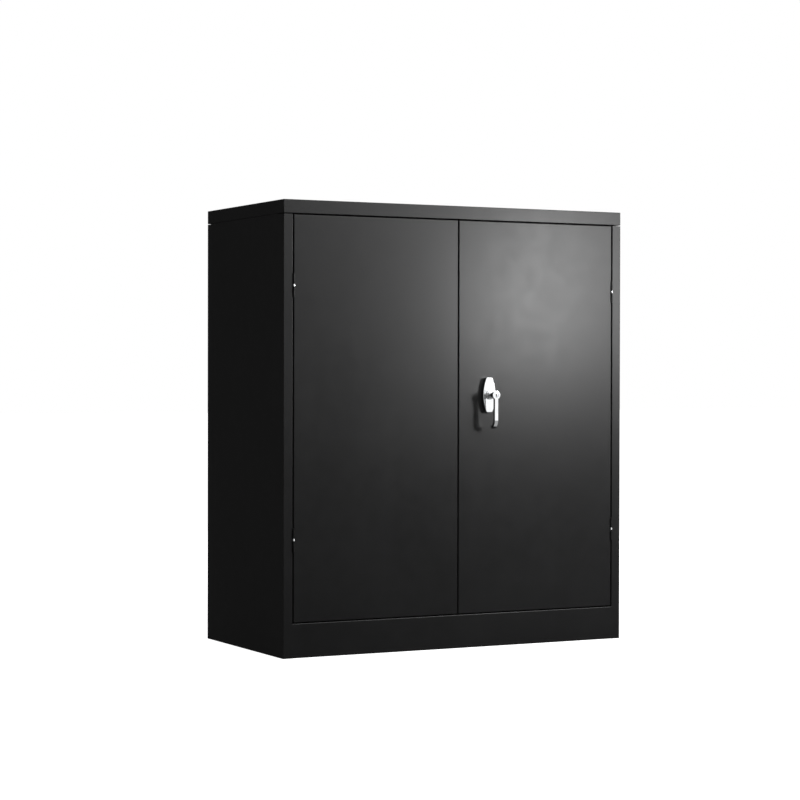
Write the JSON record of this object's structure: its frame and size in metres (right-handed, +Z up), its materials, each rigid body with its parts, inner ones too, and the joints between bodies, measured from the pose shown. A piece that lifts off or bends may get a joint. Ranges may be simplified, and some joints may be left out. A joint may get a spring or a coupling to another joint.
{
  "type": "tool cabinet with doors",
  "caption": "Counter-height black steel storage cabinet with flush hinged doors, adjustable shelves inside and a chrome swing handle that drives its latch rods.",
  "frame": {"origin": "on the floor, under the middle of the object's bounding box, which takes in the handle at the front and the rivet heads at the back", "axes": "+X to the right seen from the front, +Y from the doors to the back, +Z up"},
  "size_m": [0.92, 0.5016, 1.06],
  "materials": {
    "black_coat": "fine satin powder coat",
    "zinc_plate": "bright zinc plate",
    "chrome": "polished chrome plate",
    "rubber": "matt",
    "guide_plastic": "moulded"
  },
  "bodies": {
    "cabinet": {"left_side_panel": "black_coat", "right_side_panel": "black_coat", "back_panel": "black_coat", "top_cap": "black_coat", "header_rail": "black_coat", "floor_pan": "black_coat", "kick_plate": "black_coat", "left_front_upright": "black_coat", "left_rear_upright": "black_coat", "right_front_upright": "black_coat", "right_rear_upright": "black_coat", "lower_shelf": "black_coat", "upper_shelf": "black_coat", "lower_shelf_clips": "zinc_plate", "upper_shelf_clips": "zinc_plate", "cap_screws": "zinc_plate", "cap_nuts": "zinc_plate", "back_panel_rivets": "black_coat", "door_buffers": "rubber", "left_upper_hinge_frame_leaf": "black_coat", "left_upper_hinge_pin": "zinc_plate", "left_upper_hinge_bush": "chrome", "left_lower_hinge_frame_leaf": "black_coat", "left_lower_hinge_pin": "zinc_plate", "left_lower_hinge_bush": "chrome", "right_upper_hinge_frame_leaf": "black_coat", "right_upper_hinge_pin": "zinc_plate", "right_upper_hinge_bush": "chrome", "right_lower_hinge_frame_leaf": "black_coat", "right_lower_hinge_pin": "zinc_plate", "right_lower_hinge_bush": "chrome"},
    "left_door": {"left_door": "black_coat", "left_door_stiffener": "black_coat", "left_door_keeper": "zinc_plate", "left_upper_hinge_door_leaf": "black_coat", "left_lower_hinge_door_leaf": "black_coat"},
    "right_door": {"right_door": "black_coat", "right_door_stiffener": "black_coat", "escutcheon": "chrome", "bearing_plate": "zinc_plate", "escutcheon_screws": "zinc_plate", "upper_rod_guide": "guide_plastic", "lower_rod_guide": "guide_plastic", "right_upper_hinge_door_leaf": "black_coat", "right_lower_hinge_door_leaf": "black_coat"},
    "handle": {"handle_lever": "chrome", "latch_cam": "zinc_plate", "cam_nut": "zinc_plate"},
    "lock_plug": {"lock_plug": "chrome"},
    "upper_rod": {"upper_lock_rod": "zinc_plate"},
    "lower_rod": {"lower_lock_rod": "zinc_plate"}
  },
  "joints": [
    {"name": "left_door_hinge", "type": "hinge", "parent": "cabinet", "child": "left_door", "pos_m": [-0.43395, -0.2056, 0.568], "axis": [0, 0, -1], "range_deg": [0, 175]},
    {"name": "right_door_hinge", "type": "hinge", "parent": "cabinet", "child": "right_door", "pos_m": [0.43395, -0.2056, 0.568], "axis": [0, 0, 1], "range_deg": [0, 175]},
    {"name": "handle_turn", "type": "hinge", "parent": "right_door", "child": "handle", "pos_m": [0.079, -0.2244, 0.6075], "axis": [0, -1, 0], "range_deg": [0, 90]},
    {"name": "key_turn", "type": "hinge", "parent": "handle", "child": "lock_plug", "pos_m": [0.079, -0.2344, 0.6075], "axis": [0, -1, 0], "range_deg": [0, 90]},
    {"name": "upper_rod_slide", "type": "slide", "parent": "right_door", "child": "upper_rod", "axis": [0, 0, 1], "range_m": [0, 0.01698]},
    {"name": "lower_rod_slide", "type": "slide", "parent": "right_door", "child": "lower_rod", "axis": [0, 0, -1], "range_m": [0, 0.01698]}
  ],
  "couplings": [
    {"joint": "upper_rod_slide", "follows": "handle_turn", "m_per_rad": 0.010804},
    {"joint": "lower_rod_slide", "follows": "handle_turn", "m_per_rad": 0.010804}
  ]
}
